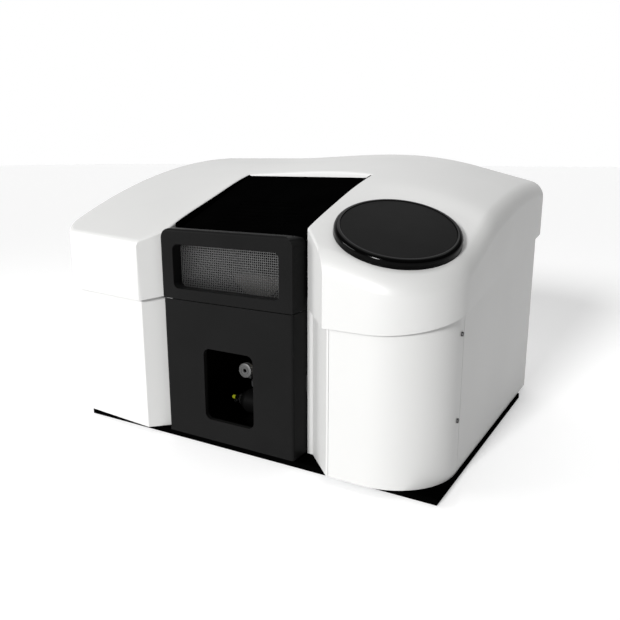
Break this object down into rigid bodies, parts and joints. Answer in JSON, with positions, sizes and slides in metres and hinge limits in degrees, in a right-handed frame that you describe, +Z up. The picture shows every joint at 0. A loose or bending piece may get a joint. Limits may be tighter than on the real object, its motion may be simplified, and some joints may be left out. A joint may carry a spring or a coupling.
{
  "type": "atomic absorption spectrophotometer",
  "caption": "Bench atomic absorption spectrophotometer with white covers on a black base, a black grilled hood and door over the burner bay, and a round lamp lid.",
  "frame": {"origin": "under the middle of the covers, on the bench top", "axes": "+X to the instrument's right as seen by the user, +Y to the rear, +Z up"},
  "size_m": [0.818, 0.6671, 0.542],
  "materials": {
    "white_moulding": "satin",
    "white_enamel": "satin",
    "black_enamel": "satin",
    "base_black": "matte",
    "black_gloss": "gloss",
    "dark_satin_plastic": "satin",
    "black_plastic": "matte",
    "foot_rubber": "matte",
    "zinc_steel": "satin",
    "liner_steel": "matte",
    "anodised_aluminium": "satin",
    "bright_rod": "polished",
    "titanium_head": "satin",
    "brass_fitting": "satin",
    "copper_pipe": "satin",
    "quartz_window": "clear",
    "lamp_glass": "clear",
    "mirror_coat": "polished",
    "grating_coat": "polished",
    "tip_plastic": "gloss",
    "wire_mesh": "satin"
  },
  "bodies": {
    "chassis": {"base_plate": "base_black", "foot_pads": "foot_rubber", "floor_pan": "zinc_steel", "left_cover": "white_enamel", "right_cover": "white_enamel", "bay_side_cover": "white_enamel", "bay_trim": "black_enamel", "lamp_access_panel": "white_enamel", "panel_screws": "zinc_steel", "rear_panel": "white_enamel", "top_cover": "white_moulding", "bay_liner": "liner_steel", "beam_port_rings": "anodised_aluminium", "beam_windows": "quartz_window", "hinge_mount": "black_enamel", "hood_hinge_pins": "zinc_steel", "door_hinge_arm": "black_enamel", "door_pins": "zinc_steel", "door_catch": "black_plastic", "lamp_stand": "anodised_aluminium", "beam_mirror": "mirror_coat", "mirror_bracket": "anodised_aluminium", "turret_motor": "black_plastic", "guide_rods": "bright_rod", "knob_bracket": "black_enamel", "monochromator_stand": "anodised_aluminium", "monochromator_case": "black_enamel", "monochromator_lid": "black_enamel", "detector_housing": "black_enamel", "power_supply": "zinc_steel", "gas_box": "zinc_steel", "gas_pipes": "copper_pipe", "fan_frame": "black_plastic", "fan_guard": "bright_rod", "mains_inlet": "black_plastic", "gas_fittings": "brass_fitting", "data_port": "zinc_steel"},
    "hood": {"hood_frame": "black_enamel", "hood_grille": "wire_mesh", "hood_plate": "black_enamel"},
    "door": {"front_door": "black_enamel"},
    "lid": {"lamp_lid": "black_gloss", "lid_disc": "dark_satin_plastic"},
    "turret": {"lamp_turret": "anodised_aluminium", "lamp_tubes": "lamp_glass", "lamp_bases": "black_plastic"},
    "carriage": {"burner_carriage": "anodised_aluminium", "burner_stem": "titanium_head", "burner_head": "titanium_head", "spray_chamber": "black_plastic", "nebuliser": "black_plastic", "capillary_tip": "tip_plastic", "height_rack": "brass_fitting"},
    "knob": {"height_knob": "anodised_aluminium", "knob_pinion": "brass_fitting"},
    "grating": {"grating_table": "anodised_aluminium", "grating": "grating_coat"},
    "fan": {"fan_rotor": "black_plastic"},
    "rocker": {"power_rocker": "black_plastic"}
  },
  "joints": [
    {"name": "hood_hinge", "type": "hinge", "parent": "chassis", "child": "hood", "pos_m": [0, -0.033, 0.48494], "axis": [-1, 0, 0], "range_deg": [0, 62]},
    {"name": "door_hinge", "type": "hinge", "parent": "chassis", "child": "door", "pos_m": [-0.136, -0.299, 0.146], "axis": [0, 0, -1], "range_deg": [0, 100]},
    {"name": "lid_lift", "type": "slide", "parent": "chassis", "child": "lid", "axis": [0.2392, -0.3154, 0.9183], "range_m": [0, 0.06]},
    {"name": "turret_spin", "type": "hinge", "parent": "chassis", "child": "turret", "pos_m": [0.282, -0.207, 0.15], "axis": [0, 0, 1], "continuous": true},
    {"name": "carriage_slide", "type": "slide", "parent": "chassis", "child": "carriage", "axis": [0, 0, 1], "range_m": [-0.01, 0.008]},
    {"name": "knob_turn", "type": "hinge", "parent": "chassis", "child": "knob", "pos_m": [-0.024, -0.18, 0.129], "axis": [0, -1, 0], "range_deg": [-60, 60]},
    {"name": "grating_turn", "type": "hinge", "parent": "chassis", "child": "grating", "pos_m": [-0.305, -0.18, 0.26], "axis": [0, 0, 1], "range_deg": [-5, 45]},
    {"name": "fan_spin", "type": "hinge", "parent": "chassis", "child": "fan", "pos_m": [-0.23, 0.3067, 0.215], "axis": [0, 1, 0], "continuous": true},
    {"name": "rocker_tilt", "type": "hinge", "parent": "chassis", "child": "rocker", "pos_m": [0.29, 0.3187, 0.083], "axis": [-1, 0, 0], "range_deg": [0, 10]}
  ],
  "couplings": [
    {"joint": "knob_turn", "follows": "carriage_slide", "rad_per_m": 83.333}
  ]
}
